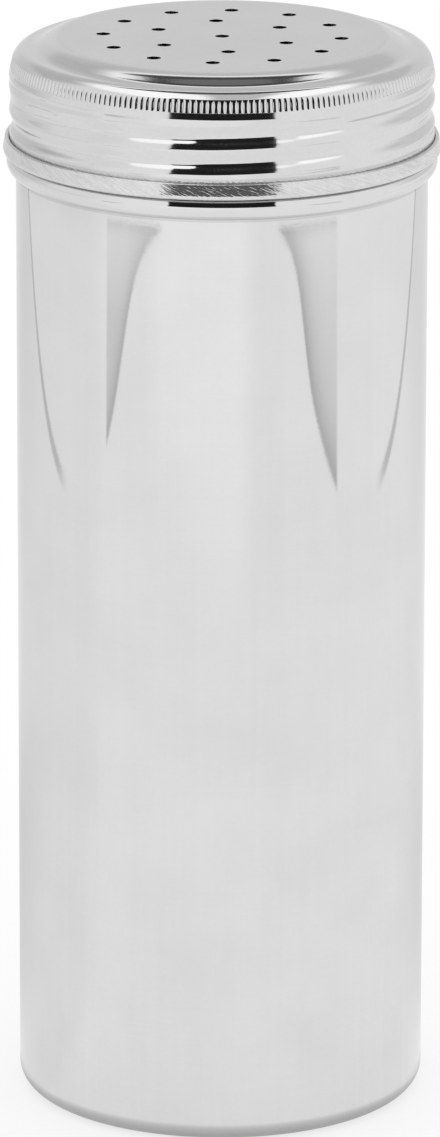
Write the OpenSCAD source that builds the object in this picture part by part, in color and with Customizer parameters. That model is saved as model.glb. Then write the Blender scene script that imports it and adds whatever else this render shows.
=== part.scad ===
// Spice shaker: a deep-drawn steel can with a perforated lid that screws onto it.
// Millimetres, +Z up, origin at the centre of the face that the can stands on.
// Both pieces are formed from thin sheet: the threads, the stop bead and the hem are rolled in it.

/* [Overall size] */
// Outer diameter of the can's straight wall
can_d = 70.5; // [64:0.5:80]
// Height over everything with the lid screwed down
total_h = 187.5; // [120:0.5:230]
// Thickness of the sheet
sheet = 0.5; // [0.4:0.05:0.6]

/* [Can] */
// Outside radius of the bend between the base and the wall
base_bend_r = 3.8; // [2.5:0.1:5]
// How far the middle of the base is pushed up inside its standing ring
base_recess = 1; // [0.6:0.1:1.5]
// Width of the flat ring that the can stands on
standing_ring_w = 4; // [2:0.5:6]
// How far the stop bead stands out from the wall
stop_bead_out = 1.6; // [1.5:0.05:1.8]
// Height of the folded-in rim at the mouth
mouth_rim_h = 2; // [1.5:0.1:2.2]

/* [Screw thread] */
// Axial distance between one turn of the thread and the next
thread_pitch = 4.3; // [4:0.1:5]
// Depth of the rolled thread from crest to root
thread_depth = 0.85; // [0.6:0.05:0.9]
// Share of the pitch that the steeper upper flank takes, from a crest up to the root over it
steep_flank = 0.43; // [0.35:0.01:0.5]
// Radial play between the lid's thread and the can's
thread_play = 0.2; // [0.15:0.05:0.3]
// Angle at which a crest crosses the reference height, from +X towards +Y
thread_phase = -90; // [-180:5:180]

/* [Lid] */
// Height of the lid, from the foot of its hem to its top panel
lid_h = 19.9; // [19.5:0.1:21]
// Height of the raised panel above the ring that surrounds it
panel_step = 1.78; // [1.4:0.02:2]
// Steepest slope of the step round the panel, in degrees
step_slope = 30; // [25:1:34]
// Outside radius of the lid's shoulder
shoulder_bend_r = 2.65; // [2.5:0.05:2.8]
// Number of teeth in the knurled grip round the shoulder
knurl_teeth = 224; // [60:4:240]
// Depth of the knurling
knurl_depth = 0.16; // [0.08:0.02:0.24]

/* [Sprinkler holes] */
// Diameter of each hole
hole_d = 2.4; // [1.5:0.1:3]
// Number of holes in the outer ring
outer_holes = 12; // [6:1:16]
// Radius of the outer ring of holes
outer_ring_r = 20.35; // [17:0.05:23]
// Number of holes in the inner ring
inner_holes = 6; // [3:1:8]
// Radius of the inner ring of holes
inner_ring_r = 12; // [8:0.5:14]
// Angle of the first hole in the outer ring, from +X towards +Y
outer_phase = -94.5; // [-180:0.5:180]
// Angle of the first hole in the inner ring, from +X towards +Y
inner_phase = -85; // [-180:0.5:180]

/* [Hidden] */

$fn = 96;
arc_step = 6;                  // turn between two points of an arc, in degrees
thread_segments = 48;          // flats round a rolled thread
levels_per_pitch = 9;          // rings of points in one pitch of it
thread_angles = [for (i = [0:thread_segments - 1]) 360 * i / thread_segments];

// Radii that belong together from the can out to the lid
can_r = can_d / 2;
neck_inset = 0.45;
neck_r = can_r - neck_inset;                            // plain neck, and the can's thread root
can_crest_r = neck_r + thread_depth;
lid_crest_r = can_crest_r + thread_play + sheet;        // outside of the lid's thread crest
plain_inset = 0.3;
lid_plain_r = lid_crest_r - plain_inset;                // outside of the skirt above its thread

// Levels of the lid's foot, the can's mouth and the ring round the panel
hem_z = total_h - lid_h;
mouth_drop = 3.5;
mouth_z = total_h - mouth_drop;
rim_foot_z = mouth_z - mouth_rim_h;
ring_z = total_h - panel_step;

// Where the thread's crest crosses thread_phase, and where its grooves run out
crest_z = hem_z + 4.25;
can_thread_foot_z = hem_z + 2;
can_thread_top_z = total_h - 6.8;
lid_thread_foot_z = hem_z + 3.3;
lid_thread_top_z = total_h - 6.3;
run_out = 1.6;
long_run_out = 2.2;
plain_run = 1.2;                                        // height over which the skirt draws in under the knurling

// Hem: the lid's edge folded outwards and up against the skirt, three sheets thick
fold_slack = 0.1;
hem_r = lid_crest_r + 2 * sheet + fold_slack;
hem_top_z = hem_z + 2.9;
hem_wall_top_z = lid_thread_foot_z;
hem_low_bend = 0.8;
hem_top_bend = 0.4;
hem_taper = 0.3;

// Stop bead: a wide bend under it, and a round top on which the hem's lower bend rests
seat_gap = 0.1;                                         // play between them when the lid is screwed home
bead_r = can_r + stop_bead_out;
bead_low_bend = 2.5;
bead_top_bend = 1.75;
seat_reach = bead_top_bend + seat_gap + hem_low_bend;   // from one bend's centre to the other's
seat_aside = hem_r - hem_low_bend - (bead_r - bead_top_bend);
bead_mid_z = hem_z + hem_low_bend - sqrt(pow(seat_reach, 2) - pow(seat_aside, 2));
bead_foot_z = bead_mid_z - bead_low_bend;
bead_top_z = bead_mid_z + bead_top_bend;
neck_lap = 0.1;                                         // how far the bead's top reaches inside the neck

// Recess in the base
recess_slope = 45;

// Lid: wide bends at the panel's edge and at the ring round it, shoulder, and the knurled band under that
panel_bend = 6;
ring_bend = 4;
knurl_top_z = total_h - 2.95;
knurl_mid_z = total_h - 4;
knurl_foot_z = total_h - 5.1;
shoulder_inset = 0.17;
shoulder_c_z = ring_z - shoulder_bend_r;
shoulder_c_r = lid_plain_r - shoulder_inset - shoulder_bend_r;
function shoulder_r(z, bend) = shoulder_c_r + sqrt(pow(bend, 2) - pow(z - shoulder_c_z, 2));

// A value that runs smoothly from 0 at z0 to 1 at z1
function ease(z0, z1, z) = let (t = min(1, max(0, (z - z0) / (z1 - z0)))) t * t * (3 - 2 * t);

// 1 on a crest of the thread and 0 in a root, at height z and angle a
function wave(z, a) =
    let (
        turns = (z - crest_z) / thread_pitch - (a - thread_phase) / 360,
        over_crest = turns - floor(turns)
    )
    1 - ease(0, steep_flank, over_crest) + ease(steep_flank, 1, over_crest);

// Share of the full thread at each height: the rolled grooves run out at both ends
function can_share(z) =
    ease(can_thread_foot_z, can_thread_foot_z + run_out, z)
    * (1 - ease(can_thread_top_z - long_run_out, can_thread_top_z, z));
function lid_share(z) =
    ease(lid_thread_foot_z, lid_thread_foot_z + run_out, z)
    * (1 - ease(lid_thread_top_z - long_run_out, lid_thread_top_z, z));

// Outside radius of each rolled wall
function can_wall(z, a) = neck_r + thread_depth * can_share(z) * wave(z, a);
function lid_wall(z, a) =
    lid_crest_r
    - thread_depth * lid_share(z) * (1 - wave(z, a))
    - plain_inset * ease(knurl_foot_z - plain_run, knurl_foot_z, z);

// ---------------------------------------------------------------- shared forms

// Points along an arc round the point c, from angle a0 to a1
function arc(c, r, a0, a1) =
    let (steps = ceil(abs(a1 - a0) / arc_step))
    [for (k = [0:steps]) let (a = a0 + (a1 - a0) * k / steps) c + r * [cos(a), sin(a)]];

// Solid of revolution of the sheet between its outer face and its inner one, both from the same end
module spun_sheet(outer, inner) {
    last = len(inner) - 1;
    rotate_extrude() polygon([each outer, for (k = [last:-1:0]) inner[k]]);
}

// Horizontal length of a smooth step: two bends of these radii with a straight slope between them
function step_run(drop, slope, bend, counter_bend) =
    (bend + counter_bend) * sin(slope)
    + (drop - (bend + counter_bend) * (1 - cos(slope))) / tan(slope);

// Closed tube through rings of points; each ring runs once round at its own height.
// The outer rings come first, then the inner ones, both from the foot up.
module ring_tube(outer, inner) {
    n = len(outer[0]);
    no = len(outer);
    ni = len(inner);
    points = [for (ring = outer) each ring, for (ring = inner) each ring];
    function at(row, i) = row * n + i % n;
    polyhedron(
        points = points,
        faces = [
            for (k = [0:no - 2], i = [0:n - 1])
                [at(k, i), at(k + 1, i), at(k + 1, i + 1), at(k, i + 1)],
            for (k = [no:no + ni - 2], i = [0:n - 1])
                [at(k, i), at(k, i + 1), at(k + 1, i + 1), at(k + 1, i)],
            for (i = [0:n - 1])
                [at(0, i), at(0, i + 1), at(no, i + 1), at(no, i)],
            for (i = [0:n - 1])
                [at(no - 1, i), at(no + ni - 1, i), at(no + ni - 1, i + 1), at(no - 1, i + 1)]
        ]
    );
}

// One ring of points with the radius that a list gives for each angle
function ring(radii, z) =
    let (n = len(radii))
    [for (i = [0:n - 1]) radii[i] * [cos(360 * i / n), sin(360 * i / n), 0] + [0, 0, z]];

// Heights from z0 to z1, evenly spaced
function levels(z0, z1) =
    let (count = ceil((z1 - z0) / thread_pitch * levels_per_pitch))
    [for (k = [0:count]) z0 + (z1 - z0) * k / count];

// ---------------------------------------------------------------- the can

// Face of the base's sheet at a depth below its outside, from its middle to the foot of the wall
function base_face(depth) =
    let (
        ring_outer_r = can_r - base_bend_r,
        ring_inner_r = ring_outer_r - standing_ring_w,
        recess_r = ring_inner_r - step_run(base_recess, recess_slope, sheet, 2 * sheet)
    )
    [
        [0, base_recess + depth],
        each arc([recess_r, base_recess - sheet], sheet + depth, 90, 90 - recess_slope),
        each arc([ring_inner_r, 2 * sheet], 2 * sheet - depth, 270 - recess_slope, 270),
        each arc([ring_outer_r, base_bend_r], base_bend_r - depth, 270, 360)
    ];

// Foot of the drawn cup: base pushed up inside its standing ring, and the bend up to the wall
module can_base() {
    color("gainsboro") spun_sheet(base_face(0), base_face(sheet));
}

// Straight wall of the cup
module can_wall() {
    color("gainsboro")
        rotate_extrude()
            translate([can_r - sheet, base_bend_r])
                square([sheet, bead_foot_z - base_bend_r]);
}

// Face of the bead's sheet at a depth below its outside, from the wall over the bead to the neck
function bead_face(depth) =
    let (
        bead_c_r = bead_r - bead_low_bend,
        foot_angle = -acos((can_r - depth - bead_c_r) / (bead_low_bend - depth))
    )
    [
        [can_r - depth, bead_foot_z],
        each arc([bead_c_r, bead_mid_z], bead_low_bend - depth, foot_angle, 0),
        each arc([bead_r - bead_top_bend, bead_mid_z], bead_top_bend - depth, 0, 90),
        [neck_r - sheet - neck_lap, bead_top_z - depth]
    ];

// Bead rolled outwards in the wall: its round top stops the lid
module stop_bead() {
    color("gainsboro") spun_sheet(bead_face(0), bead_face(sheet));
}

// Neck of the can, with its external thread rolled into the sheet
module can_neck() {
    heights = [bead_top_z, each levels(can_thread_foot_z, can_thread_top_z), rim_foot_z];
    color("gainsboro")
        ring_tube(
            [for (z = heights) ring([for (a = thread_angles) can_wall(z, a)], z)],
            [for (z = heights) ring([for (a = thread_angles) can_wall(z, a) - sheet], z)]
        );
}

// Mouth of the can: the edge folded inwards, so that no raw edge is left
module mouth_rim() {
    fold_w = 2 * sheet;
    color("gainsboro")
        rotate_extrude() {
            translate([neck_r - fold_w, rim_foot_z]) square([fold_w, mouth_rim_h - sheet]);
            translate([neck_r - sheet, mouth_z - sheet]) circle(sheet);
        }
}

// ---------------------------------------------------------------- the lid

// Ring of sprinkler holes through the panel
module hole_ring(count, r, phase) {
    for (i = [0:count - 1])
        rotate(phase + i * 360 / count)
            translate([r, 0, total_h - 2 * sheet])
                cylinder(d = hole_d, h = 3 * sheet);
}

// Face of the lid's sheet at a depth below its outside, from the middle of the panel to the knurling
function lid_face(depth) =
    let (
        panel_r = shoulder_c_r - step_run(panel_step, step_slope, panel_bend, ring_bend),
        end_angle = asin((knurl_top_z - shoulder_c_z) / (shoulder_bend_r - depth))
    )
    [
        [0, total_h - depth],
        each arc([panel_r, total_h - panel_bend], panel_bend - depth, 90, 90 - step_slope),
        each arc([shoulder_c_r, ring_z + ring_bend], ring_bend + depth, 270 - step_slope, 270),
        each arc([shoulder_c_r, shoulder_c_z], shoulder_bend_r - depth, 90, end_angle)
    ];

// Perforated panel, the step down to the ring round it, and the shoulder
module lid_top() {
    color("silver")
        difference() {
            spun_sheet(lid_face(0), lid_face(sheet));
            hole_ring(outer_holes, outer_ring_r, outer_phase);
            hole_ring(inner_holes, inner_ring_r, inner_phase);
            hole_ring(1, 0, 0);
        }
}

// Coin-edge grip: straight teeth pressed in the foot of the shoulder
module knurl_band() {
    crests = [
        [lid_plain_r + knurl_depth / 3, knurl_foot_z],
        [shoulder_r(knurl_mid_z, shoulder_bend_r), knurl_mid_z],
        [shoulder_r(knurl_top_z, shoulder_bend_r), knurl_top_z]
    ];
    inside = [
        [lid_plain_r - sheet, knurl_foot_z],
        [shoulder_r(knurl_top_z, shoulder_bend_r - sheet), knurl_top_z]
    ];
    sides = 2 * knurl_teeth;
    color("silver")
        ring_tube(
            [for (p = crests) ring([for (i = [0:sides - 1]) p[0] - (i % 2) * knurl_depth], p[1])],
            [for (p = inside) ring([for (i = [0:sides - 1]) p[0]], p[1])]
        );
}

// Skirt of the lid, with its internal thread rolled into the sheet
module lid_skirt() {
    heights = levels(hem_wall_top_z, knurl_foot_z);
    color("silver")
        ring_tube(
            [for (z = heights) ring([for (a = thread_angles) lid_wall(z, a)], z)],
            [for (z = heights) ring([for (a = thread_angles) lid_wall(z, a) - sheet], z)]
        );
}

// Edge of the lid folded outwards into a smooth triple hem that seats on the can's stop bead
module lid_hem() {
    wall_r = lid_crest_r - sheet;
    low = [hem_r - hem_low_bend, hem_z + hem_low_bend];
    top = [hem_r - hem_taper - hem_top_bend, hem_top_z - hem_top_bend];
    gap = top - low;
    tilt = asin((hem_low_bend - hem_top_bend) / norm(gap)) - atan(gap[0] / gap[1]);
    out = [cos(tilt), sin(tilt)];
    color("silver")
        rotate_extrude() {
            translate(low) circle(hem_low_bend);
            translate(top) circle(hem_top_bend);
            polygon([low, low + hem_low_bend * out, top + hem_top_bend * out, top]);
            translate([wall_r, low[1]]) square([low[0] - wall_r, top[1] - low[1]]);
            translate([wall_r, low[1]]) square([sheet, hem_wall_top_z - low[1]]);
        }
}

can_base();
can_wall();
stop_bead();
can_neck();
mouth_rim();
lid_top();
knurl_band();
lid_skirt();
lid_hem();
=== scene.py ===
import math

import bpy
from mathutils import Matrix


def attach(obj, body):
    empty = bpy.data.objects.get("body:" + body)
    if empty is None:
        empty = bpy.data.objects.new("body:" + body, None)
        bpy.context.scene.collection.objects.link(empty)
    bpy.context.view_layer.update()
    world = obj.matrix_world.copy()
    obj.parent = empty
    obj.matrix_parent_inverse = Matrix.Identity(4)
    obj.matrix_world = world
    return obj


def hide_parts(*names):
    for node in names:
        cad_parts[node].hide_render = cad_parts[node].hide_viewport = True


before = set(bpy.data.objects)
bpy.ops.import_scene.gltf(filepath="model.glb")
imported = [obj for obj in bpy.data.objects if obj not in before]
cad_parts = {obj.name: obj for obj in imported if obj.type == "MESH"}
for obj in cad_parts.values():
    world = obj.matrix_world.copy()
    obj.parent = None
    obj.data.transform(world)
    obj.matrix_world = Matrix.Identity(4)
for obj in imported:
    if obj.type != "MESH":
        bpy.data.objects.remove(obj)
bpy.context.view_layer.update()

# ---------------------------------------------------------------- camera
# A long lens stands 1.4 m in front of the shaker, higher than its lid, and looks down at the middle of its
# wall. It is rolled by a tenth of a degree.
camera_data = bpy.data.cameras.new("camera")
camera_data.lens = 272.8
camera_data.clip_end = 20
camera = bpy.data.objects.new("camera", camera_data)
camera.location = (-0.00022, -1.4336, 0.51091)
camera_pitch = math.radians(73.75)
camera_roll = math.radians(0.1)
camera.rotation_euler = (
    camera_pitch,
    -camera_roll * math.sin(camera_pitch),
    camera_roll * math.cos(camera_pitch),
)
bpy.context.scene.collection.objects.link(camera)
bpy.context.scene.camera = camera
bpy.context.scene.view_settings.view_transform = "Standard"


# ---------------------------------------------------------------- light tent
# The shaker stands in a white light tent that lights it evenly from every side. Only the steel shows the
# tent's parts: a dark gap in front, a bright roof with a dark slot and a softbox that is switched off, and
# walls that are a little darker behind and on the left.
def connect(tree, value, socket):
    """Sets a socket to a number, or links it to another node's output."""
    if isinstance(value, bpy.types.NodeSocket):
        tree.links.new(value, socket)
    else:
        socket.default_value = value


def calc(tree, operation, *values):
    """Output of a math node of these numbers or outputs."""
    node = tree.nodes.new("ShaderNodeMath")
    node.operation = operation
    for value, socket in zip(values, node.inputs):
        connect(tree, value, socket)
    return node.outputs[0]


def product(tree, *values):
    """Output of a chain of nodes that multiplies these numbers or outputs."""
    total = values[0]
    for value in values[1:]:
        total = calc(tree, "MULTIPLY", total, value)
    return total


def total_of(tree, *values):
    """Output of a chain of nodes that adds these numbers or outputs."""
    total = values[0]
    for value in values[1:]:
        total = calc(tree, "ADD", total, value)
    return total


def remainder(tree, share):
    """What is left of 1 when this share is taken away."""
    return calc(tree, "SUBTRACT", 1, share)


def rise(tree, value, low, high):
    """0 where value is under low, 1 where it is over high, and smooth between them."""
    node = tree.nodes.new("ShaderNodeMapRange")
    node.interpolation_type = "SMOOTHSTEP"
    connect(tree, value, node.inputs["Value"])
    connect(tree, low, node.inputs["From Min"])
    connect(tree, high, node.inputs["From Max"])
    return node.outputs["Result"]


def within(tree, value, low, high, blur):
    """1 where value is between low and high, with edges that are blurred this much."""
    inside = rise(tree, value, low - blur / 2, low + blur / 2)
    outside = rise(tree, value, high - blur / 2, high + blur / 2)
    return product(tree, inside, remainder(tree, outside))


def seen_in_steel(tree, tone):
    """This tone for a ray that left a glossy surface, and 1 for any other ray."""
    glossy = tree.nodes.new("ShaderNodeLightPath").outputs["Is Glossy Ray"]
    return total_of(tree, remainder(tree, glossy), product(tree, tone, glossy))


world = bpy.data.worlds.new("light_tent")
bpy.context.scene.world = world
world.use_nodes = True
sky = world.node_tree
sky.nodes.clear()

# A direction from the shaker, in degrees: azimuth from the front to the right, elevation from the level.
direction = sky.nodes.new("ShaderNodeSeparateXYZ")
sky.links.new(sky.nodes.new("ShaderNodeTexCoord").outputs["Generated"], direction.inputs[0])
east, north, up = direction.outputs
azimuth = calc(sky, "DEGREES", calc(sky, "ARCTAN2", east, product(sky, north, -1)))
elevation = calc(sky, "DEGREES", calc(sky, "ARCSINE", up))
off_front = calc(sky, "ABSOLUTE", azimuth)
off_back = calc(sky, "SUBTRACT", 180, off_front)

# The gap in front, whose sides lean apart from 10 degrees over the level upwards, and from 5 under it down.
gap_half_width = 28.4
gap_shade = 0.985
over = calc(sky, "MAXIMUM", calc(sky, "SUBTRACT", elevation, 10), 0)
under = calc(sky, "MINIMUM", total_of(sky, elevation, 5), 0)
widening = total_of(sky, product(sky, over, over, 0.0048), product(sky, under, under, 0.003))
past_gap = calc(sky, "SUBTRACT", off_front, total_of(sky, gap_half_width, widening))
gap_across = remainder(sky, rise(sky, past_gap, -0.7, 0.7))
gap = product(sky, gap_across, within(sky, elevation, -30, 57, 2), gap_shade)

# The bright roof, and the slot at its back, which sags at both ends and is darkest along its foot.
roof_light = 0.35
slot_shade = 0.86
slot_foot_shade = 0.08
roof = product(sky, rise(sky, elevation, 46, 54), roof_light)
sag = product(sky, off_back, off_back, 0.0012)
slot_level = total_of(sky, elevation, sag)
slot_whole = product(sky, within(sky, slot_level, 54, 79, 4), slot_shade)
slot_foot = product(sky, within(sky, slot_level, 57, 67, 3), slot_foot_shade)
slot_across = remainder(sky, rise(sky, off_back, 31.5, 34))
slot = product(sky, slot_across, total_of(sky, slot_foot, slot_whole))

# The back wall, which is darker still up to the roof's edge, and the left wall.
back_shade = 0.22
back_top_shade = 0.12
left_shade = 0.07
behind = rise(sky, off_front, 95, 125)
below_edge = remainder(sky, rise(sky, elevation, 42, 50))
back_wall = product(sky, behind, below_edge, back_shade)
back_top = product(sky, behind, within(sky, elevation, 24, 52, 8), back_top_shade)
below_roof = remainder(sky, rise(sky, elevation, 50, 70))
left_wall = product(sky, within(sky, azimuth, -160, -66, 24), below_roof, left_shade)

# The softbox overhead, a little to the right, placed by the x, y and z of a direction.
softbox_shade = 0.5
softbox = product(
    sky,
    within(sky, east, -0.08, 0.26, 0.12),
    rise(sky, up, 0.8, 0.88),
    remainder(sky, rise(sky, north, 0.15, 0.3)),
    softbox_shade,
)

tent = product(
    sky,
    calc(sky, "SUBTRACT", total_of(sky, 1, roof), total_of(sky, back_wall, back_top, left_wall)),
    remainder(sky, gap),
    remainder(sky, slot),
    remainder(sky, softbox),
)
background = sky.nodes.new("ShaderNodeBackground")
background.inputs["Color"].default_value = (1, 1, 1, 1)
sky.links.new(seen_in_steel(sky, tent), background.inputs["Strength"])
sky.links.new(background.outputs[0], sky.nodes.new("ShaderNodeOutputWorld").inputs["Surface"])


# ---------------------------------------------------------------- floor
# White paper under the tent, whose side walls meet it about 0.42 m to the left and right of the shaker. It
# is white to the camera. The steel sees the seams, the darker room past the walls' front edges, and soft
# shades on the paper.
floor_half = 3
floor_mesh = bpy.data.meshes.new("floor")
floor_corners = [(x * floor_half, y * floor_half, 0) for x, y in [(-1, -1), (1, -1), (1, 1), (-1, 1)]]
floor_mesh.from_pydata(floor_corners, [], [(0, 1, 2, 3)])
floor = bpy.data.objects.new("floor", floor_mesh)
bpy.context.scene.collection.objects.link(floor)

paper = bpy.data.materials.new("white_paper")
paper.use_nodes = True
sheet = paper.node_tree
sheet.nodes.clear()

# A place on the paper: bearing in degrees from the front to the right, distance from the shaker's axis.
place = sheet.nodes.new("ShaderNodeSeparateXYZ")
sheet.links.new(sheet.nodes.new("ShaderNodeTexCoord").outputs["Object"], place.inputs[0])
right, back, _ = place.outputs
aside = calc(sheet, "ABSOLUTE", right)
front = product(sheet, back, -1)
bearing = calc(sheet, "DEGREES", calc(sheet, "ARCTAN2", right, front))
off_front_bearing = calc(sheet, "ABSOLUTE", bearing)
distance = calc(sheet, "SQRT", total_of(sheet, product(sheet, right, right), product(sheet, back, back)))

# The darker room past the tent's front edges, out to the end of the paper.
paper_end = 0.685
end_line_share = 0.5
end_line_fade = 0.004
room_start = 20


def fading(away, length):
    """1 where away is 0 or less, which fades to nothing over a few of these lengths."""
    return calc(sheet, "EXPONENT", calc(sheet, "DIVIDE", calc(sheet, "MAXIMUM", away, 0), -length))


def dark_room(side, edge, swell, bulge, bow, side_end, even, line, fade):
    """Share of light that is missing past the tent's front edge on one side of the shaker: an even share
    that is smaller far out, and more along the edge and along the end of the paper. The edge swells out
    over its bulge, and bows in past it."""
    swelling = product(sheet, swell, rise(sheet, front, *bulge))
    past_bulge = calc(sheet, "MAXIMUM", calc(sheet, "SUBTRACT", front, bulge[1]), 0)
    bowing = product(sheet, past_bulge, past_bulge, bow)
    wall_edge = calc(sheet, "SUBTRACT", total_of(sheet, edge, swelling), bowing)
    past = calc(sheet, "SUBTRACT", product(sheet, right, side), wall_edge)
    far_out = product(sheet, rise(sheet, distance, 0.58, 0.68), 0.6 * even)
    edge_line = product(sheet, fading(past, fade), line)
    to_end = calc(sheet, "SUBTRACT", paper_end, distance)
    end_line = product(sheet, fading(to_end, end_line_fade), end_line_share)
    missing = total_of(sheet, calc(sheet, "SUBTRACT", even, far_out), edge_line, end_line)
    on_paper = remainder(sheet, rise(sheet, distance, paper_end - 0.001, paper_end + 0.001))
    bearings = within(sheet, product(sheet, bearing, side), room_start, *side_end)
    return product(sheet, missing, rise(sheet, past, -0.004, 0.004), bearings, on_paper)


left_room = dark_room(
    side=-1,
    edge=0.433,
    swell=0.04,
    bulge=(0.17, 0.39),
    bow=3,
    side_end=(65.5, 1),
    even=0.3,
    line=0.4,
    fade=0.02,
)
right_room = dark_room(
    side=1,
    edge=0.401,
    swell=0.02,
    bulge=(0.32, 0.46),
    bow=4.4,
    side_end=(65.7, 2),
    even=0.16,
    line=0.56,
    fade=0.04,
)

# The seams where the side walls meet the paper, which lean out towards the back.
tent_half = 0.42
seam_w = 0.014
seam_shade = 0.5
seam_place = calc(sheet, "SUBTRACT", aside, product(sheet, back, 0.1))
seam_across = within(sheet, seam_place, tent_half, tent_half + seam_w, 0.006)
seam = product(sheet, seam_across, rise(sheet, back, 0.02, 0.1), seam_shade)

# Soft shades on the paper: brighter in front, and darker to the right of that, on the left, behind, most of
# all near the can, and under its foot.
front_light = 0.1
front_shade = 0.03
far_shade = 0.1
foot_shade = 0.5
bright_front = product(sheet, rise(sheet, front, 0.3, 0.52), within(sheet, bearing, -38, 14, 16), front_light)
shaded_front = product(sheet, rise(sheet, front, 0.2, 0.4), within(sheet, bearing, 14, 32, 12), front_shade)
between_seams = within(sheet, seam_place, -tent_half, tent_half, 0.01)
shaded_back = product(sheet, rise(sheet, back, 0.2, 0.5), between_seams, far_shade)
from_back = rise(sheet, bearing, -175, -140)
to_front = remainder(sheet, rise(sheet, bearing, -80, -62))
left_share = calc(sheet, "MULTIPLY_ADD", rise(sheet, distance, 0.64, 0.74), 0.12, 0.07)
shaded_left = product(sheet, from_back, to_front, left_share)
near = remainder(sheet, rise(sheet, distance, 0.14, 0.28))
side_share = calc(sheet, "MULTIPLY_ADD", near, 0.19, 0.14)
shaded_sides = product(sheet, rise(sheet, off_front_bearing, 100, 160), side_share)
under_foot = product(sheet, remainder(sheet, rise(sheet, distance, 0.034, 0.042)), foot_shade)
shades = total_of(sheet, shaded_front, shaded_left, shaded_sides, shaded_back, under_foot)
tone = product(
    sheet,
    calc(sheet, "SUBTRACT", total_of(sheet, 1, bright_front), shades),
    remainder(sheet, left_room),
    remainder(sheet, right_room),
    remainder(sheet, seam),
)


def mirror_ray(tree):
    """1 for a ray that left a camera, a glossy surface or a clear one."""
    path = tree.nodes.new("ShaderNodeLightPath")
    seen = calc(tree, "MAXIMUM", path.outputs["Is Camera Ray"], path.outputs["Is Glossy Ray"])
    return calc(tree, "MAXIMUM", seen, path.outputs["Is Transmission Ray"])


# Paper that mostly glows for the rays that see it, so that it is white, and keeps a soft shadow. To any
# other ray it is plain matt paper.
shadow_share = 0.3
glow = sheet.nodes.new("ShaderNodeEmission")
sheet.links.new(product(sheet, seen_in_steel(sheet, tone), 1 - shadow_share), glow.inputs["Strength"])
soft = sheet.nodes.new("ShaderNodeBsdfDiffuse")
soft.inputs["Color"].default_value = (shadow_share, shadow_share, shadow_share, 1)
shown = sheet.nodes.new("ShaderNodeAddShader")
sheet.links.new(glow.outputs[0], shown.inputs[0])
sheet.links.new(soft.outputs[0], shown.inputs[1])
matt = sheet.nodes.new("ShaderNodeBsdfDiffuse")
matt.inputs["Color"].default_value = (0.8, 0.8, 0.8, 1)
mixed = sheet.nodes.new("ShaderNodeMixShader")
sheet.links.new(mirror_ray(sheet), mixed.inputs[0])
sheet.links.new(matt.outputs[0], mixed.inputs[1])
sheet.links.new(shown.outputs[0], mixed.inputs[2])
sheet.links.new(mixed.outputs[0], sheet.nodes.new("ShaderNodeOutputMaterial").inputs["Surface"])
floor_mesh.materials.append(paper)


# ---------------------------------------------------------------- can: base, wall and stop bead
# One cup of thin stainless sheet, deep-drawn: the base is pushed up inside its standing ring, and a
# bead is rolled outwards near the top. The steel is polished smooth, and keeps faint drawing marks.
MM = 0.001
sheet_t = 0.5 * MM
can_r = 35.25 * MM
base_bend_r = 3.8 * MM
base_recess = 1 * MM
standing_ring_w = 4 * MM
recess_slope = 45
bead_in_r = 34.2 * MM
bead_r = 36.85 * MM
bead_low_bend = 2.5 * MM
bead_top_bend = 1.75 * MM
bead_mid_z = 166.25 * MM
bead_top_z = bead_mid_z + bead_top_bend


def arc(centre, radius, start, end, step=3):
    """Points along an arc in the turning plane, from one angle to another in degrees."""
    count = max(2, math.ceil(abs(end - start) / step))
    angles = [math.radians(start + (end - start) * k / count) for k in range(count + 1)]
    return [(centre[0] + radius * math.cos(a), centre[1] + radius * math.sin(a)) for a in angles]


def supported(outline):
    """The closed outline with two more points just inside the ends of each long straight."""
    lip = 0.2 * MM
    points = []
    for start, end in zip(outline, outline[1:] + outline[:1]):
        points.append(start)
        length = math.dist(start, end)
        if length > 5 * lip:
            for share in (lip / length, 1 - lip / length):
                points.append(tuple(s + (e - s) * share for s, e in zip(start, end)))
    return points


def turned(name, outline, segments):
    """Object turned round the upright axis from a closed outline of (radius, height) points.
    The outline runs up the outside and down the inside, and a point at radius 0 is a pole."""
    verts = []
    rows = []
    for radius, height in outline:
        count = segments if radius > 1e-9 else 1
        rows.append(range(len(verts), len(verts) + count))
        for i in range(count):
            angle = 2 * math.pi * i / segments
            verts.append((radius * math.cos(angle), radius * math.sin(angle), height))
    faces = []
    for low, high in zip(rows, rows[1:] + rows[:1]):
        for i in range(segments):
            j = (i + 1) % segments
            if len(low) > 1 and len(high) > 1:
                faces.append((low[i], low[j], high[j], high[i]))
            elif len(high) > 1:
                faces.append((low[0], high[j], high[i]))
            elif len(low) > 1:
                faces.append((low[i], low[j], high[0]))
    mesh = bpy.data.meshes.new(name)
    mesh.from_pydata(verts, [], faces)
    piece = bpy.data.objects.new(name, mesh)
    bpy.context.scene.collection.objects.link(piece)
    return piece


def finish_piece(piece, body, nodes, sharp):
    """Smooths a piece but for its edges sharper than this many degrees, gives it its body, and hides
    the nodes that it replaces."""
    piece.data.shade_smooth()
    piece.data.set_sharp_from_angle(angle=math.radians(sharp))
    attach(piece, body)
    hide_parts(*nodes)


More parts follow.
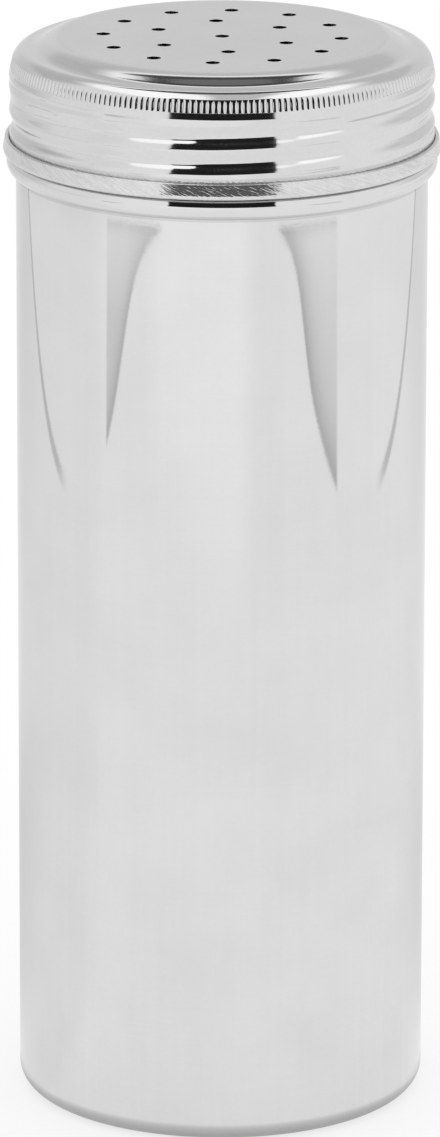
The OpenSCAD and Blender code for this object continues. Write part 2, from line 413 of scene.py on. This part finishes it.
def steel(name, colour, roughness, peel, streaks, rings, dents=0, painted_shade=(), satin_over=1, bare=1):
    """Stainless steel with fine orange peel from forming, long drawing marks, turned polishing rings,
    faint clouds in its polish, small slanted dents where the sheet was folded, and painted shade in
    creases and under folds, given as (low, high, share of light that it takes). Over one height it
    can be satin. A fine matt film covers what isn't bare. The dents slant because their pattern is
    turned more and more up the piece."""
    dent_twist = 60
    satin_roughness = 0.22
    material = bpy.data.materials.new(name)
    material.use_nodes = True
    tree = material.node_tree
    shader = tree.nodes["Principled BSDF"]
    shader.inputs["Metallic"].default_value = bare
    position = tree.nodes.new("ShaderNodeTexCoord").outputs["Object"]
    split = tree.nodes.new("ShaderNodeSeparateXYZ")
    tree.links.new(position, split.inputs[0])
    x, y, z = split.outputs
    radius = calc(tree, "SQRT", total_of(tree, product(tree, x, x), product(tree, y, y)))

    def noise(vector, scale, detail):
        """Output of a noise texture, 0.5 on average."""
        node = tree.nodes.new("ShaderNodeTexNoise")
        tree.links.new(vector, node.inputs["Vector"])
        node.inputs["Scale"].default_value = scale
        node.inputs["Detail"].default_value = detail
        return node.outputs["Fac"]

    def stretched(*parts):
        """Vector of these three numbers or outputs."""
        node = tree.nodes.new("ShaderNodeCombineXYZ")
        for value, socket in zip(parts, node.inputs):
            connect(tree, value, socket)
        return node.outputs[0]

    def marks(pattern, share):
        """A noise's rise and fall round 0, times this share."""
        return product(tree, calc(tree, "SUBTRACT", pattern, 0.5), share)

    peel_noise = noise(position, scale=1400, detail=2)
    streak_noise = noise(stretched(x, y, product(tree, z, 0.02)), scale=700, detail=2)
    turned_place = stretched(product(tree, x, 0.01), product(tree, y, 0.01), total_of(tree, z, radius))
    ring_noise = noise(turned_place, scale=3500, detail=3)
    cloud_noise = noise(position, scale=70, detail=3)
    twist = tree.nodes.new("ShaderNodeVectorRotate")
    twist.rotation_type = "Z_AXIS"
    tree.links.new(stretched(x, y, product(tree, z, 0.6)), twist.inputs["Vector"])
    tree.links.new(product(tree, z, dent_twist), twist.inputs["Angle"])
    dent_noise = noise(twist.outputs[0], scale=1400, detail=2)
    tone = total_of(
        tree,
        1,
        marks(peel_noise, 0.10 * peel),
        marks(streak_noise, 0.12 * streaks),
        marks(ring_noise, 0.10 * rings),
        marks(cloud_noise, 0.12),
        marks(dent_noise, 0.45 * dents),
    )
    # Painted shade: the colour is darkened over each band of height where a crease or fold would be in shade.
    for low, high, share in painted_shade:
        unshaded = remainder(tree, product(tree, within(tree, z, low, high, 0.2 * MM), share))
        tone = product(tree, tone, unshaded)
    shade = tree.nodes.new("ShaderNodeCombineColor")
    for channel, socket in zip(colour, shade.inputs):
        tree.links.new(product(tree, tone, channel), socket)
    tree.links.new(shade.outputs[0], shader.inputs["Base Color"])
    rough = total_of(
        tree,
        roughness,
        marks(streak_noise, 0.10 * streaks),
        marks(ring_noise, 0.08 * rings),
        product(tree, rise(tree, z, satin_over, satin_over + 0.15 * MM), satin_roughness),
    )
    tree.links.new(rough, shader.inputs["Roughness"])
    height = total_of(
        tree,
        product(tree, peel_noise, 0.0016 * peel),
        product(tree, streak_noise, 0.0010 * streaks),
        product(tree, ring_noise, 0.0004 * rings),
        product(tree, dent_noise, 0.05 * dents),
    )
    bump = tree.nodes.new("ShaderNodeBump")
    bump.inputs["Strength"].default_value = 1
    bump.inputs["Distance"].default_value = MM
    tree.links.new(height, bump.inputs["Height"])
    tree.links.new(bump.outputs[0], shader.inputs["Normal"])
    return material


# Painted shade: the colour is darkened just under the stop bead, and on the bead's top under the lid's hem.
under_bead_shade = (163.5 * MM, 164.1 * MM, 0.15)
over_bead_shade = (bead_mid_z + 1.1 * MM, bead_top_z + 0.2 * MM, 0.35)
can_steel = steel(
    "can_steel",
    colour=(0.71, 0.71, 0.71),
    roughness=0.03,
    peel=0.3,
    streaks=0.3,
    rings=0.25,
    painted_shade=[under_bead_shade, over_bead_shade],
)


def slope_run(drop, slope, bend, counter_bend):
    """Horizontal length of a step between two levels: two bends with a straight slope between them."""
    angle = math.radians(slope)
    bends = bend + counter_bend
    return bends * math.sin(angle) + (drop - bends * (1 - math.cos(angle))) / math.tan(angle)


def cup_face(depth):
    """Face of the cup's sheet at a depth below its outside, from the middle of the base to the neck."""
    ring_outer_r = can_r - base_bend_r
    ring_inner_r = ring_outer_r - standing_ring_w
    recess_r = ring_inner_r - slope_run(base_recess, recess_slope, sheet_t, 2 * sheet_t)
    bead_c_r = bead_r - bead_low_bend
    foot_angle = -math.degrees(math.acos((can_r - depth - bead_c_r) / (bead_low_bend - depth)))
    return [
        (0, base_recess + depth),
        *arc((recess_r, base_recess - sheet_t), sheet_t + depth, 90, 90 - recess_slope, 9),
        *arc((ring_inner_r, 2 * sheet_t), 2 * sheet_t - depth, 270 - recess_slope, 270, 9),
        *arc((ring_outer_r, base_bend_r), base_bend_r - depth, 270, 360),
        *arc((bead_c_r, bead_mid_z), bead_low_bend - depth, foot_angle, 0),
        *arc((bead_r - bead_top_bend, bead_mid_z), bead_top_bend - depth, 0, 90, 5),
        (bead_in_r, bead_top_z - depth),
    ]


cup_outline = supported(cup_face(0) + cup_face(sheet_t)[::-1])
cup = turned("can_cup", cup_outline, 256)
cup.data.materials.append(can_steel)
finish_piece(cup, "can", ["can_base", "can_wall", "stop_bead"], 12)


# ---------------------------------------------------------------- can: neck and mouth
# The same sheet above the bead, with a coarse external thread rolled into it. At the mouth the edge
# is folded inwards, so that no raw edge is left.
neck_r = 34.8 * MM
thread_pitch = 4.3 * MM
thread_depth = 0.85 * MM
steep_flank = 0.43
thread_phase = math.radians(-90)
crest_z = 171.85 * MM
rim_foot_z = 182 * MM
mouth_z = 184 * MM
row_h = 0.12 * MM


def evaluated(piece, tree, settings):
    """Runs a node tree on a piece and keeps the result as its plain mesh."""
    modifier = piece.modifiers.new(tree.name, "NODES")
    modifier.node_group = tree
    sockets = {item.name: item.identifier for item in tree.interface.items_tree if item.in_out == "INPUT"}
    for name, value in settings.items():
        modifier[sockets[name]] = value
    graph = bpy.context.evaluated_depsgraph_get()
    mesh = bpy.data.meshes.new_from_object(piece.evaluated_get(graph))
    piece.modifiers.remove(modifier)
    piece.data = mesh


def new_tree(name, inputs):
    """Empty node tree with a geometry in and out and these named inputs, given as (name, kind)."""
    tree = bpy.data.node_groups.new(name, "GeometryNodeTree")
    tree.interface.new_socket(name="Geometry", in_out="INPUT", socket_type="NodeSocketGeometry")
    for label, kind in inputs:
        tree.interface.new_socket(name=label, in_out="INPUT", socket_type="NodeSocket" + kind)
    tree.interface.new_socket(name="Geometry", in_out="OUTPUT", socket_type="NodeSocketGeometry")
    return tree, tree.nodes.new("NodeGroupInput").outputs


def close_tree(tree, geometry, material):
    """Ends a tree: instances made real, doubles merged, the material set."""
    real = tree.nodes.new("GeometryNodeRealizeInstances")
    merge = tree.nodes.new("GeometryNodeMergeByDistance")
    merge.inputs["Distance"].default_value = 0.001 * MM
    paint = tree.nodes.new("GeometryNodeSetMaterial")
    tree.links.new(geometry, real.inputs[0])
    tree.links.new(real.outputs[0], merge.inputs["Geometry"])
    tree.links.new(merge.outputs[0], paint.inputs["Geometry"])
    tree.links.new(material, paint.inputs["Material"])
    tree.links.new(paint.outputs[0], tree.nodes.new("NodeGroupOutput").inputs[0])


def rolled_thread():
    """Tree that presses a helical thread into a round wall, running out at both ends. Its upper flanks
    are the steep ones. One groove can be shallower on the left than elsewhere, and on a stretch at either
    side of the front the upper flanks can be steeper, with a sharper bend at the groove's floor."""
    lengths = ["Pitch", "Depth", "Crest Height", "Foot", "Top", "Foot Run", "Top Run", "Shallow Height"]
    shares = ["Steep Flank", "Phase", "Inwards", "Shallow Share", "Steeper Share", "Sharper Share"]
    inputs = [(label, "Float") for label in lengths + shares]
    tree, given = new_tree("rolled_thread", inputs + [("Material", "Material")])
    split = tree.nodes.new("ShaderNodeSeparateXYZ")
    tree.links.new(tree.nodes.new("GeometryNodeInputPosition").outputs[0], split.inputs[0])
    x, y, z = split.outputs
    climb = calc(tree, "DIVIDE", calc(tree, "SUBTRACT", z, given["Crest Height"]), given["Pitch"])
    turn = calc(tree, "SUBTRACT", calc(tree, "ARCTAN2", y, x), given["Phase"])
    turns = calc(tree, "SUBTRACT", climb, calc(tree, "DIVIDE", turn, 2 * math.pi))
    over_crest = calc(tree, "FRACT", turns)
    left_of_front = product(tree, x, -1)
    in_front = rise(tree, product(tree, y, -1), 0, 20 * MM)
    left_stretch = within(tree, left_of_front, 3.5 * MM, 17 * MM, 6 * MM)
    right_stretch = within(tree, x, 12.6 * MM, 22 * MM, 3.6 * MM)
    hard_rolled = product(tree, total_of(tree, left_stretch, right_stretch), in_front)
    steeper = product(tree, given["Steeper Share"], hard_rolled)
    root = product(tree, given["Steep Flank"], remainder(tree, steeper))
    fall_share = calc(tree, "MINIMUM", calc(tree, "DIVIDE", over_crest, root), 1)
    soft_fall = rise(tree, fall_share, 0, 1)
    sharper = product(tree, given["Sharper Share"], hard_rolled)
    harder = calc(tree, "SUBTRACT", product(tree, fall_share, fall_share), soft_fall)
    fallen = total_of(tree, soft_fall, product(tree, sharper, harder))
    risen = rise(tree, over_crest, root, 1)
    wave = total_of(tree, remainder(tree, fallen), risen)
    foot_full = total_of(tree, given["Foot"], given["Foot Run"])
    top_full = calc(tree, "SUBTRACT", given["Top"], given["Top Run"])
    grown = rise(tree, z, given["Foot"], foot_full)
    ended = rise(tree, z, top_full, given["Top"])
    share = product(tree, grown, remainder(tree, ended))
    off_shallow = calc(tree, "ABSOLUTE", calc(tree, "SUBTRACT", z, given["Shallow Height"]))
    shallow_level = remainder(tree, rise(tree, off_shallow, 1.6 * MM, 2.8 * MM))
    shallow_side = rise(tree, left_of_front, 19 * MM, 31 * MM)
    shallow = remainder(tree, product(tree, given["Shallow Share"], shallow_level, shallow_side))
    push = product(tree, given["Depth"], share, shallow, calc(tree, "SUBTRACT", wave, given["Inwards"]))
    level = tree.nodes.new("ShaderNodeCombineXYZ")
    tree.links.new(x, level.inputs["X"])
    tree.links.new(y, level.inputs["Y"])
    outwards = tree.nodes.new("ShaderNodeVectorMath")
    outwards.operation = "NORMALIZE"
    tree.links.new(level.outputs[0], outwards.inputs[0])
    offset = tree.nodes.new("ShaderNodeVectorMath")
    offset.operation = "SCALE"
    tree.links.new(outwards.outputs[0], offset.inputs[0])
    tree.links.new(push, offset.inputs["Scale"])
    move = tree.nodes.new("GeometryNodeSetPosition")
    tree.links.new(given["Geometry"], move.inputs["Geometry"])
    tree.links.new(offset.outputs[0], move.inputs["Offset"])
    close_tree(tree, move.outputs[0], given["Material"])
    return tree


def upright(radius, low, high):
    """Points up a wall whose radius depends on the height."""
    count = math.ceil((high - low) / row_h)
    heights = [low + (high - low) * k / count for k in range(count + 1)]
    return [(radius(height), height) for height in heights]


fold_w = 2 * sheet_t
fold_corner = 0.05 * MM
neck_outline = [
    *upright(lambda z: neck_r, bead_top_z, mouth_z - sheet_t),
    *arc((neck_r - sheet_t, mouth_z - sheet_t), sheet_t, 0, 180, 9),
    *arc((neck_r - fold_w + sheet_t / 2, rim_foot_z + sheet_t / 2), sheet_t / 2, 180, 270, 15),
    (neck_r - sheet_t, rim_foot_z),
    *upright(lambda z: neck_r - sheet_t, bead_top_z, rim_foot_z - fold_corner)[::-1],
]
neck = turned("can_neck_thread", neck_outline, 320)
thread_tree = rolled_thread()
thread_form = {
    "Pitch": thread_pitch,
    "Depth": thread_depth,
    "Crest Height": crest_z,
    "Phase": thread_phase,
    "Steep Flank": steep_flank,
    "Foot Run": 1.6 * MM,
    "Top Run": 2.2 * MM,
    "Shallow Height": 177.2 * MM,
}
evaluated(neck, thread_tree, {
    **thread_form,
    "Foot": 169.6 * MM,
    "Top": 180.7 * MM,
    "Inwards": 0.0,
    "Shallow Share": 0.0,
    "Steeper Share": 0.0,
    "Sharper Share": 0.0,
    "Material": can_steel,
})
finish_piece(neck, "can", ["can_neck", "mouth_rim"], 40)


# ---------------------------------------------------------------- lid: panel, step and shoulder
# Stamped from thin stainless sheet and polished bright, but for its raised flat panel, which is satin.
# A smooth step leads down to the ring round it, and to the rolled shoulder. The holes are punched from above.
total_h = 187.5 * MM
panel_step = 1.78 * MM
ring_z = total_h - panel_step
step_slope = 30
panel_bend = 6 * MM
ring_bend = 4 * MM
shoulder_bend_r = 2.65 * MM
shoulder_c_r = 33.23 * MM
shoulder_c_z = ring_z - shoulder_bend_r
knurl_top_z = 184.55 * MM
satin_drop = 0.16 * MM
# Painted shade: the colour is darkened in the crevice where the hem folds up against the skirt.
fold_shade = (170.3 * MM, 171.2 * MM, 0.15)
lid_steel = steel(
    "lid_steel",
    colour=(0.69, 0.69, 0.69),
    roughness=0.07,
    peel=0.8,
    streaks=0,
    rings=0.5,
    painted_shade=[fold_shade],
    satin_over=total_h - satin_drop,
)


def lid_face(depth):
    """Face of the lid's sheet at a depth below its outside, from the middle of the panel to the knurling."""
    panel_r = shoulder_c_r - slope_run(panel_step, step_slope, panel_bend, ring_bend)
    end_angle = math.degrees(math.asin((knurl_top_z - shoulder_c_z) / (shoulder_bend_r - depth)))
    ring_c = (shoulder_c_r, ring_z + ring_bend)
    return [
        (0, total_h - depth),
        *arc((panel_r, total_h - panel_bend), panel_bend - depth, 90, 90 - step_slope),
        *arc(ring_c, ring_bend + depth, 270 - step_slope, 270),
        *arc((shoulder_c_r, shoulder_c_z), shoulder_bend_r - depth, 90, end_angle),
    ]


def punched_holes():
    """Tree that punches two rings of round holes through a panel. The tool for each is a cylinder, with a
    cone on it that breaks the hole's upper edge."""
    tool_sides = 32
    ring_inputs = [(ring + " Count", "Int") for ring in ("Outer", "Inner")]
    ring_inputs += [(ring + part, "Float") for ring in ("Outer", "Inner") for part in (" Radius", " Phase")]
    inputs = ring_inputs + [("Hole Radius", "Float"), ("Edge Width", "Float"), ("Panel Height", "Float")]
    tree, given = new_tree("punched_holes", inputs + [("Material", "Material")])
    punch = tree.nodes.new("GeometryNodeMeshCylinder")
    punch.inputs["Vertices"].default_value = tool_sides
    punch.inputs["Depth"].default_value = 4 * MM
    tree.links.new(given["Hole Radius"], punch.inputs["Radius"])
    edge = tree.nodes.new("GeometryNodeMeshCone")
    edge.inputs["Vertices"].default_value = tool_sides
    top_r = total_of(tree, given["Hole Radius"], given["Edge Width"])
    low_r = calc(tree, "SUBTRACT", given["Hole Radius"], product(tree, given["Edge Width"], 0.3))
    tree.links.new(top_r, edge.inputs["Radius Top"])
    tree.links.new(low_r, edge.inputs["Radius Bottom"])
    tree.links.new(given["Edge Width"], edge.inputs["Depth"])
    sink = tree.nodes.new("GeometryNodeTransform")
    drop = tree.nodes.new("ShaderNodeCombineXYZ")
    tree.links.new(product(tree, given["Edge Width"], -0.95), drop.inputs["Z"])
    tree.links.new(edge.outputs["Mesh"], sink.inputs["Geometry"])
    tree.links.new(drop.outputs[0], sink.inputs["Translation"])
    tool = tree.nodes.new("GeometryNodeMeshBoolean")
    tool.operation = "UNION"
    tool.solver = "EXACT"
    tree.links.new(punch.outputs["Mesh"], tool.inputs["Mesh 2"])
    tree.links.new(sink.outputs[0], tool.inputs["Mesh 2"])
    tools = tree.nodes.new("GeometryNodeJoinGeometry")
    tree.links.new(tool.outputs["Mesh"], tools.inputs[0])
    for ring in ("Outer", "Inner"):
        circle = tree.nodes.new("GeometryNodeMeshCircle")
        tree.links.new(given[ring + " Count"], circle.inputs["Vertices"])
        tree.links.new(given[ring + " Radius"], circle.inputs["Radius"])
        turn = tree.nodes.new("ShaderNodeCombineXYZ")
        tree.links.new(given[ring + " Phase"], turn.inputs["Z"])
        spun = tree.nodes.new("GeometryNodeTransform")
        tree.links.new(circle.outputs["Mesh"], spun.inputs["Geometry"])
        tree.links.new(turn.outputs[0], spun.inputs["Rotation"])
        copies = tree.nodes.new("GeometryNodeInstanceOnPoints")
        tree.links.new(spun.outputs[0], copies.inputs["Points"])
        tree.links.new(tool.outputs["Mesh"], copies.inputs["Instance"])
        tree.links.new(copies.outputs[0], tools.inputs[0])
    raised = tree.nodes.new("GeometryNodeTransform")
    level = tree.nodes.new("ShaderNodeCombineXYZ")
    tree.links.new(given["Panel Height"], level.inputs["Z"])
    tree.links.new(tools.outputs[0], raised.inputs["Geometry"])
    tree.links.new(level.outputs[0], raised.inputs["Translation"])
    solid_tools = tree.nodes.new("GeometryNodeRealizeInstances")
    tree.links.new(raised.outputs[0], solid_tools.inputs[0])
    cut = tree.nodes.new("GeometryNodeMeshBoolean")
    cut.operation = "DIFFERENCE"
    cut.solver = "EXACT"
    tree.links.new(given["Geometry"], cut.inputs["Mesh 1"])
    tree.links.new(solid_tools.outputs[0], cut.inputs["Mesh 2"])
    close_tree(tree, cut.outputs["Mesh"], given["Material"])
    return tree


panel_outline = supported(lid_face(0)[::-1] + lid_face(sheet_t))
panel = turned("lid_panel", panel_outline, 256)
evaluated(panel, punched_holes(), {
    "Outer Count": 12,
    "Outer Radius": 20.35 * MM,
    "Outer Phase": math.radians(-94.5),
    "Inner Count": 6,
    "Inner Radius": 12 * MM,
    "Inner Phase": math.radians(-85),
    "Hole Radius": 1.2 * MM,
    "Edge Width": 0.06 * MM,
    "Panel Height": total_h,
    "Material": lid_steel,
})
finish_piece(panel, "lid", ["lid_top"], 12)


# ---------------------------------------------------------------- lid: knurled grip
# Straight V-grooves pressed round the foot of the shoulder for grip. Each runs out gently in the
# shoulder above, and more steeply at the skirt below.
knurl_teeth = 224
knurl_depth = 0.16 * MM
knurl_foot_z = 182.4 * MM
groove_foot_run = 0.2 * MM
groove_top_run = 0.7 * MM
straight_z = 183.5 * MM
lid_plain_r = 36.05 * MM


def tooth_crest(height):
    """Radius of the teeth's crests: the shoulder's curve, and under it a straight foot that ends a third
    of a groove's depth outside the skirt."""
    curve = shoulder_c_r + math.sqrt(shoulder_bend_r**2 - (max(height, straight_z) - shoulder_c_z) ** 2)
    foot_share = max(0, (straight_z - height) / (straight_z - knurl_foot_z))
    return curve + (lid_plain_r + knurl_depth / 3 - curve) * foot_share


def groove_depth(height):
    """Depth of a groove's floor, which rises at both its ends."""
    under_top = max(0, knurl_top_z - height) / groove_top_run
    return knurl_depth * min(1, under_top, (height - knurl_foot_z) / groove_foot_run)


def tooth_mesh():
    """One tooth with the sheet behind it, from the middle of one groove to the middle of the next."""
    floor_share = 0.02
    flank = 0.19
    near_side = [0, floor_share, floor_share + flank / 2, floor_share + flank]
    shares = near_side + [0.5] + [1 - share for share in near_side[::-1]]
    heights = [knurl_foot_z, knurl_foot_z + groove_foot_run]
    heights += [straight_z + (knurl_top_z - straight_z) * k / 4 for k in range(5)]
    inner_bend_r = shoulder_bend_r - sheet_t
    top_in_r = shoulder_c_r + math.sqrt(inner_bend_r**2 - (knurl_top_z - shoulder_c_z) ** 2)
    inside = [(lid_plain_r - sheet_t, knurl_foot_z), (top_in_r, knurl_top_z)]
    verts = []
    for share in shares:
        angle = 2 * math.pi * (share - 0.5) / knurl_teeth
        off_groove = min(share, 1 - share)
        sunk = min(1, max(0, 1 - (off_groove - floor_share) / flank))
        rows = []
        for height in heights:
            rows.append((tooth_crest(height) - groove_depth(height) * sunk, height))
        for radius, height in rows + inside[::-1]:
            verts.append((radius * math.cos(angle), radius * math.sin(angle), height))
    ring_size = len(heights) + len(inside)
    faces = []
    for column in range(len(shares) - 1):
        for k in range(ring_size):
            low = column * ring_size + k
            high = column * ring_size + (k + 1) % ring_size
            faces.append((low, low + ring_size, high + ring_size, high))
    mesh = bpy.data.meshes.new("tooth")
    mesh.from_pydata(verts, [], faces)
    return mesh


def ring_of_teeth():
    """Tree that sets one tooth round a full turn this many times."""
    tree, given = new_tree("ring_of_teeth", [("Teeth", "Int"), ("Material", "Material")])
    points = tree.nodes.new("GeometryNodePoints")
    tree.links.new(given["Teeth"], points.inputs["Count"])
    number = tree.nodes.new("GeometryNodeInputIndex").outputs[0]
    turn = tree.nodes.new("ShaderNodeCombineXYZ")
    step = calc(tree, "DIVIDE", 2 * math.pi, given["Teeth"])
    tree.links.new(product(tree, number, step), turn.inputs["Z"])
    copies = tree.nodes.new("GeometryNodeInstanceOnPoints")
    tree.links.new(points.outputs[0], copies.inputs["Points"])
    tree.links.new(given["Geometry"], copies.inputs["Instance"])
    tree.links.new(turn.outputs[0], copies.inputs["Rotation"])
    close_tree(tree, copies.outputs[0], given["Material"])
    return tree


knurl = bpy.data.objects.new("lid_knurl", tooth_mesh())
bpy.context.scene.collection.objects.link(knurl)
evaluated(knurl, ring_of_teeth(), {"Teeth": knurl_teeth, "Material": lid_steel})
finish_piece(knurl, "lid", ["knurl_band"], 40)


# ---------------------------------------------------------------- lid: threaded skirt
# The skirt hangs from the knurled band. Its internal thread is rolled right through the sheet, so it
# shows outside as soft ribs that climb to the right.
lid_crest_r = 36.35 * MM
plain_run = 1.2 * MM
hem_wall_top_z = 170.9 * MM


def skirt_r(height):
    """Outside radius of the skirt before its thread is rolled: it draws in a little under the knurling."""
    share = min(1, max(0, 1 - (knurl_foot_z - height) / plain_run))
    return lid_crest_r - (lid_crest_r - lid_plain_r) * share * share * (3 - 2 * share)


skirt_outline = [
    *upright(skirt_r, hem_wall_top_z, knurl_foot_z),
    *upright(lambda z: skirt_r(z) - sheet_t, hem_wall_top_z, knurl_foot_z)[::-1],
]
skirt = turned("lid_thread_skirt", skirt_outline, 320)
evaluated(skirt, thread_tree, {
    **thread_form,
    "Foot": 170.9 * MM,
    "Top": 181.2 * MM,
    "Inwards": 1.0,
    "Shallow Share": 0.68,
    "Steeper Share": 0.16,
    "Sharper Share": 0.9,
    "Material": lid_steel,
})
finish_piece(skirt, "lid", ["lid_skirt"], 60)


# ---------------------------------------------------------------- lid: hem
# The lid's edge, folded outwards and up against the skirt, so that the edge that fingers meet is smooth.
# It leans in a little, and seats on the can's stop bead when the lid is screwed home.
hem_r = 37.44 * MM
hem_low_bend = 0.8 * MM
hem_top_bend = 0.4 * MM
hem_lean = 0.3 * MM
hem_low = (hem_r - hem_low_bend, 168.4 * MM)
hem_top = (hem_r - hem_lean - hem_top_bend, 170.1 * MM)
hem_reach = math.dist(hem_low, hem_top)
hem_tilt = math.degrees(
    math.asin((hem_low_bend - hem_top_bend) / hem_reach)
    - math.atan((hem_top[0] - hem_low[0]) / (hem_top[1] - hem_low[1]))
)
wall_in_r = lid_crest_r - sheet_t
hem_outline = supported([
    *arc(hem_low, hem_low_bend, -180, hem_tilt, 8),
    *arc(hem_top, hem_top_bend, hem_tilt, 170, 8),
    (lid_crest_r, hem_top[1] + 0.1 * MM),
    (lid_crest_r, hem_wall_top_z),
    (wall_in_r, hem_wall_top_z),
])
hem = turned("lid_hem_fold", hem_outline, 256)
# Painted shade: the colour is darkened at the hem's foot, where it sits over the can's bead.
hem_foot_shade = (167.4 * MM, 167.85 * MM, 0.35)
hem_steel = steel(
    "hem_steel",
    colour=(0.69, 0.69, 0.69),
    roughness=0.1,
    peel=1.4,
    streaks=0,
    rings=0.5,
    dents=1,
    painted_shade=[fold_shade, hem_foot_shade],
    bare=0.88,
)
hem.data.materials.append(hem_steel)
finish_piece(hem, "lid_edge", ["lid_hem"], 40)
